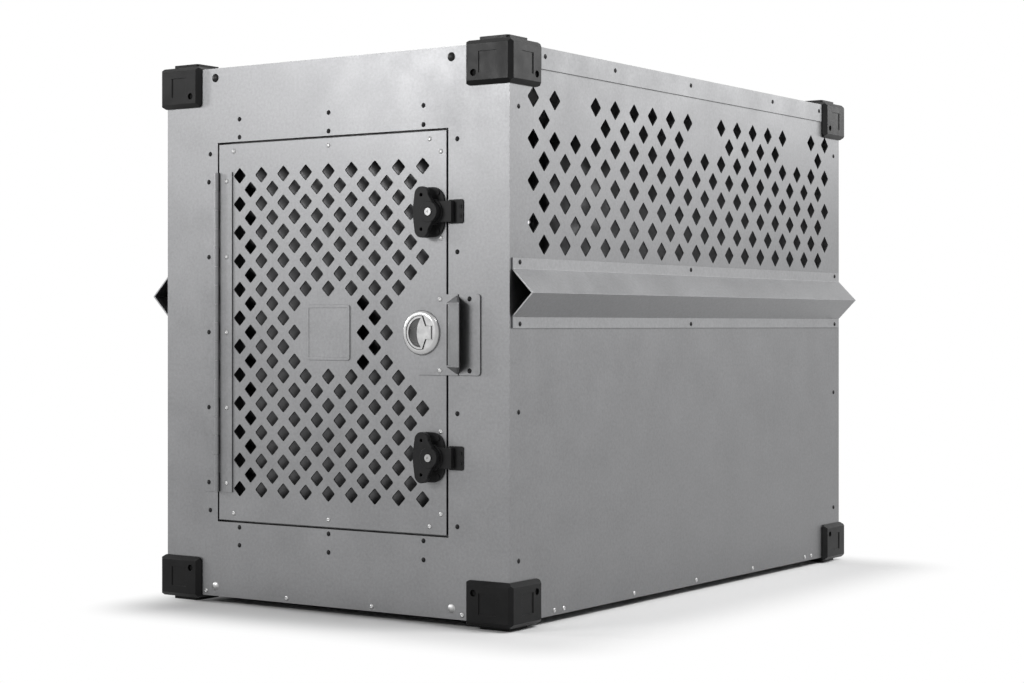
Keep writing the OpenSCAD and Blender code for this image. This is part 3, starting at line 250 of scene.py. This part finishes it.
def satin_aluminium(name, tone, dullness):
    dark, light = 0.87, 1.13
    dull_spread = 0.05
    clouding_share = 0.35
    finish, nodes, links, metal = new_finish(name)
    metal.inputs["Metallic"].default_value = 1.0
    place = nodes.new("ShaderNodeTexCoord").outputs["Object"]
    mottle = cloud_pattern(nodes, links, place, scale=260.0, detail=3.0, roughness=0.7)
    clouding = cloud_pattern(nodes, links, place, scale=14.0, detail=6.0, roughness=0.6)
    speckle = cloud_pattern(nodes, links, place, scale=900.0)
    blend = nodes.new("ShaderNodeMix")
    blend.inputs["Factor"].default_value = clouding_share
    links.new(mottle, blend.inputs["A"])
    links.new(clouding, blend.inputs["B"])
    tone_by(nodes, links, blend.outputs["Result"], metal,
            (pattern_low, shaded(tone, dark)), (pattern_high, shaded(tone, light)))
    dull_by(nodes, links, clouding, metal, dullness - dull_spread, dullness + dull_spread)
    tooth_by(nodes, links, speckle, metal, strength=0.15, depth=0.0002)
    return finish


def dress(finish, *names):
    for name in names:
        cad = frame["nodes"][name]
        cad.data.materials.clear()
        cad.data.materials.append(finish)


body_sheet = satin_aluminium("body_sheet_aluminium", mill_tone, dullness=0.44)
dress(body_sheet, "front_panel", "rear_panel", "door_frame", "roof_panel", "floor_pan",
      "left_side_panel", "right_side_panel")


# The black rivets: blind rivets enamelled black, their domes a little rubbed. They hold
# the body's sheets, the handles, the hinge's fixed leaf and the strike plate.
def fastener_finish(name, tone, worn_tone, metallic, dullness):
    worn_from, worn_through = 0.55, 0.8
    dull_spread = 0.08
    shine = 0.2
    finish, nodes, links, skin = new_finish(name)
    skin.inputs["Metallic"].default_value = metallic
    skin.inputs["Specular IOR Level"].default_value = shine
    place = nodes.new("ShaderNodeTexCoord").outputs["Object"]
    wear = cloud_pattern(nodes, links, place, scale=900.0, detail=4.0)
    tone_by(nodes, links, wear, skin, (worn_from, tone), (worn_through, worn_tone))
    dull_by(nodes, links, wear, skin, dullness - dull_spread, dullness + dull_spread)
    return finish


black_rivet = fastener_finish("black_rivet_enamel", tone=(0.005, 0.005, 0.0055),
                              worn_tone=(0.02, 0.02, 0.02), metallic=0.0, dullness=0.55)
dress(black_rivet, "roof_rivets", "side_rivets", "handle_rivets", "front_rivets",
      "hinge_frame_rivets", "strike_rivets")


# The bright rivets: blind rivets of plain aluminium that hold the floor and the door. Each
# head keeps the small hole in its crown that the rivet's pin broke off in.
weld = 1e-6
pin_hole = 0.0015
pin_floor = 0.0009
pin_depth = 0.0008
crown_spokes = 20
head_rim = math.radians(35)
bright_rivet = fastener_finish("bright_rivet_aluminium", tone=(0.45, 0.45, 0.45),
                               worn_tone=(0.32, 0.32, 0.32), metallic=1.0, dullness=0.34)
for node in ("floor_rivets", "hinge_door_rivets", "door_rivets", "latch_plate_rivets"):
    cad = frame["nodes"][node]
    heads = bmesh.new()
    heads.from_mesh(cad.data)
    bmesh.ops.remove_doubles(heads, verts=heads.verts, dist=weld)
    heads.normal_update()
    crowns = [(v.co.copy(), v.normal.copy()) for v in heads.verts
              if len(v.link_edges) > crown_spokes]
    for crown, outward in crowns:
        for v in heads.verts:
            reach = (v.co - crown).length
            if reach < pin_hole:
                sunk = min(1, (pin_hole - reach) / (pin_hole - pin_floor))
                v.co -= outward * pin_depth * sunk
    drawn = plain_mesh(node + "_drawn", heads)
    drawn.data.shade_smooth()
    drawn.data.set_sharp_from_angle(angle=head_rim)
    drawn.data.materials.append(bright_rivet)
    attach(drawn, cad["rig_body"])
    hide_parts(node)


# The frame's bolts: steel button heads that tie the end panels to the roof and the floor,
# toned by height as a painted reflection: bright near the floor and dark near the roof.
bolt_dullness = 0.4
bolt_wear_reach = 0.2
# Painted reflection: pale tones low down, near-black tones high up, blurred by random wear.
bolt_reflection_tones = ((0.0, (0.24, 0.24, 0.24)), (0.25, (0.5, 0.5, 0.5)),
              (0.5, (0.008, 0.008, 0.008)), (1.0, (0.03, 0.03, 0.03)))
frame_bolt_steel, nodes, links, bolt_skin = new_finish("frame_bolt_steel")
bolt_skin.inputs["Metallic"].default_value = 1.0
bolt_skin.inputs["Roughness"].default_value = bolt_dullness
bolt_place = nodes.new("ShaderNodeTexCoord").outputs["Object"]
bolt_height = nodes.new("ShaderNodeSeparateXYZ")
links.new(bolt_place, bolt_height.inputs[0])
wear_and_reflection_height = nodes.new("ShaderNodeMath")
wear_and_reflection_height.operation = "MULTIPLY_ADD"
wear_and_reflection_height.inputs[1].default_value = bolt_wear_reach
links.new(cloud_pattern(nodes, links, bolt_place, scale=500.0), wear_and_reflection_height.inputs[0])
links.new(bolt_height.outputs["Z"], wear_and_reflection_height.inputs[2])
tone_by(nodes, links, wear_and_reflection_height.outputs[0], bolt_skin, *bolt_reflection_tones)
dress(frame_bolt_steel, "frame_bolts")


# The corners: eight thick moulded nylon corners with a foot or stacking pad, bevelled
# free edges and a plain sunk panel on each leaf, held by black screws sunk in wells.
corner_edge = 0.0009
flat_limit = math.radians(0.5)
edge_limit = math.radians(30)
bevel_steps = 2
face_weight = 100


def eased_copy(node, edge, finish, limit=edge_limit):
    cad = frame["nodes"][node]
    shape = bmesh.new()
    shape.from_mesh(cad.data)
    bmesh.ops.remove_doubles(shape, verts=shape.verts, dist=weld)
    bmesh.ops.dissolve_limit(shape, angle_limit=flat_limit, verts=shape.verts, edges=shape.edges)
    piece = plain_mesh(node + "_eased", shape)
    piece.data.shade_smooth()
    piece.data.set_sharp_from_angle(angle=limit)
    easing = piece.modifiers.new("eased_edges", "BEVEL")
    easing.width = edge
    easing.segments = bevel_steps
    easing.limit_method = "ANGLE"
    easing.angle_limit = limit
    flat_faces = piece.modifiers.new("flat_faces", "WEIGHTED_NORMAL")
    flat_faces.weight = face_weight
    flat_faces.keep_sharp = True
    piece.data.materials.append(finish)
    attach(piece, cad["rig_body"])
    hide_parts(node)


def dull_skin(name, tone, dullness, grain_scale, grain_depth):
    rubbed_from, rubbed_to = 0.35, 0.75
    dark, light = 0.8, 1.35
    dull_spread = 0.07
    shine = 0.15
    finish, nodes, links, skin = new_finish(name)
    skin.inputs["Specular IOR Level"].default_value = shine
    place = nodes.new("ShaderNodeTexCoord").outputs["Object"]
    grain = nodes.new("ShaderNodeTexVoronoi")
    grain.inputs["Scale"].default_value = grain_scale
    links.new(place, grain.inputs["Vector"])
    rub = cloud_pattern(nodes, links, place, scale=35.0, detail=7.0, roughness=0.6)
    tone_by(nodes, links, rub, skin,
            (rubbed_from, shaded(tone, dark)), (rubbed_to, shaded(tone, light)))
    dull_by(nodes, links, rub, skin, dullness - dull_spread, dullness + dull_spread)
    tooth_by(nodes, links, grain.outputs["Distance"], skin, strength=0.25, depth=grain_depth)
    return finish


corner_nylon = dull_skin("corner_nylon", tone=(0.0065, 0.0065, 0.0067), dullness=0.36,
                         grain_scale=1400.0, grain_depth=0.0001)
for end in ("front", "rear"):
    for side in ("left", "right"):
        for level in ("top", "bottom"):
            corner = f"{end}_{side}_{level}_corner"
            eased_copy(corner, corner_edge, corner_nylon)
sunk_screw = fastener_finish("sunk_screw_black", tone=(0.002, 0.002, 0.002),
                             worn_tone=(0.004, 0.004, 0.004), metallic=0.0, dullness=0.75)
dress(sunk_screw, "corner_screws")


# The handles: one long vee of folded aluminium sheet along each side, with a flange above
# and below that is riveted to the side, open at both ends.
handle_edge = 0.0005
handle_limit = math.radians(20)
# Painted light: the handles' sheet is the body's mill finish toned paler, to brighten them.
handle_painted_brightening = 1.23
handle_brightened_tone = shaded(mill_tone, handle_painted_brightening)
handle_sheet = satin_aluminium("handle_aluminium", handle_brightened_tone, dullness=0.46)
for side in ("left", "right"):
    eased_copy(f"{side}_handle", handle_edge, handle_sheet, handle_limit)


# The door: a vented aluminium sheet with a folded stiffener riveted behind its edges, and
# a plain pressed badge plate in the middle.
badge_edge = 0.0003
door_sheet = satin_aluminium("door_sheet_aluminium", mill_tone, dullness=0.43)
dress(door_sheet, "door_panel", "door_stiffener")
eased_copy("badge_plate", badge_edge, door_sheet)


# The door's inner guard: an aluminium sheet folded to a shallow tray behind the vents,
# so that no claw reaches their edges. Its dark tone is painted shade, standing in for the
# dim inside of the crate seen through the vents. It is open above and below, and cut out
# by the latch.
# Painted shade: the guard's sheet is toned dark for the shade behind the vents.
guard_shade_tone = (0.1, 0.1, 0.102)
guard_sheet = 0.0012
guard_half = 0.168
guard_draw = 0.002
guard_front = -0.4635
guard_back = -0.4435
guard_levels = (0.136, 0.331, 0.401, 0.596)
guard_cut = 0.118
latch_row = 1
folds_left_of_cut = 2
guard_section = [
    (-guard_half, guard_front),
    (-guard_half + guard_draw, guard_back),
    (guard_cut, guard_back),
    (guard_half - guard_draw, guard_back),
    (guard_half, guard_front),
]
guard_shape = bmesh.new()
guard_rows = [[guard_shape.verts.new((x, y, z)) for x, y in guard_section]
              for z in guard_levels]
for row, (lower, upper) in enumerate(zip(guard_rows, guard_rows[1:])):
    folds = folds_left_of_cut if row == latch_row else len(guard_section) - 1
    for fold in range(folds):
        guard_shape.faces.new((lower[fold], lower[fold + 1], upper[fold + 1], upper[fold]))
bmesh.ops.recalc_face_normals(guard_shape, faces=guard_shape.faces)
bmesh.ops.solidify(guard_shape, geom=guard_shape.faces[:], thickness=guard_sheet)
bmesh.ops.recalc_face_normals(guard_shape, faces=guard_shape.faces)
inner_guard = plain_mesh("door_inner_guard", guard_shape)
guard_shaded_coat = satin_aluminium("guard_painted_shade_sheet", guard_shade_tone, dullness=0.34)
inner_guard.data.materials.append(guard_shaded_coat)
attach(inner_guard, "door")


# The hinge: two long aluminium leaves with rolled knuckles, riveted to the frame and to
# the door, on one stainless pin.
hinge_sheet = satin_aluminium("hinge_aluminium", mill_tone, dullness=0.42)
dress(hinge_sheet, "hinge_frame_leaf", "hinge_door_leaf")
bolt_steel = fastener_finish("bolt_stainless", tone=(0.5, 0.5, 0.5),
                             worn_tone=(0.3, 0.3, 0.3), metallic=1.0, dullness=0.35)
dress(bolt_steel, "hinge_pin")


# The latch plates: an aluminium doubler on the door with a pressed finger scoop, and a
# flat strike plate beside it on the frame, both riveted on.
plate_edge = 0.0003
scoop_limit = math.radians(15)
plate_sheet = satin_aluminium("latch_plate_aluminium", mill_tone, dullness=0.4)
eased_copy("latch_plate", plate_edge, plate_sheet, scoop_limit)
eased_copy("strike_plate", plate_edge, plate_sheet)


# The round slam latch: a polished stainless dome with a cup, and a ring-shaped paddle
# that lifts on a sprung pin and draws the bolt back.
latch_edge = 0.0003


def polished_steel(name, tone, dullness):
    dark, light = 0.93, 1.05
    brighter, duller = 0.04, 0.06
    finish, nodes, links, metal = new_finish(name)
    metal.inputs["Metallic"].default_value = 1.0
    place = nodes.new("ShaderNodeTexCoord").outputs["Object"]
    smear = cloud_pattern(nodes, links, place, scale=160.0, detail=6.0)
    tone_by(nodes, links, smear, metal,
            (pattern_low, shaded(tone, dark)), (pattern_high, shaded(tone, light)))
    dull_by(nodes, links, smear, metal, dullness - brighter, dullness + duller)
    return finish


latch_steel = polished_steel("latch_polished_steel", tone=(0.44, 0.44, 0.44), dullness=0.3)
eased_copy("slam_latch_body", latch_edge, latch_steel)
eased_copy("slam_paddle", latch_edge, latch_steel)
dress(bolt_steel, "paddle_pin", "paddle_spring", "slam_bolt")


# The rotary draw latches: a moulded black base with a drum, a wing knob on a bright steel
# bolt, a black metal draw link and a keeper on the frame, held on by black screws.
base_edge = 0.0005
knob_edge = 0.0007
link_edge = 0.0004
knob_black = dull_skin("knob_black", tone=(0.014, 0.014, 0.0145), dullness=0.42,
                       grain_scale=1800.0, grain_depth=0.00006)
link_black = dull_skin("link_black", tone=(0.016, 0.016, 0.0165), dullness=0.36,
                       grain_scale=900.0, grain_depth=0.00004)
for level in ("upper", "lower"):
    eased_copy(f"{level}_latch_base", base_edge, knob_black)
    eased_copy(f"{level}_latch_knob", knob_edge, knob_black)
    eased_copy(f"{level}_latch_link", link_edge, link_black)
    eased_copy(f"{level}_keeper", link_edge, link_black)
knob_bolt = polished_steel("knob_bolt_steel", tone=(0.36, 0.36, 0.36), dullness=0.34)
dress(knob_bolt, "upper_knob_bolt", "lower_knob_bolt")
dress(black_rivet, "keeper_screws", "latch_base_screws")
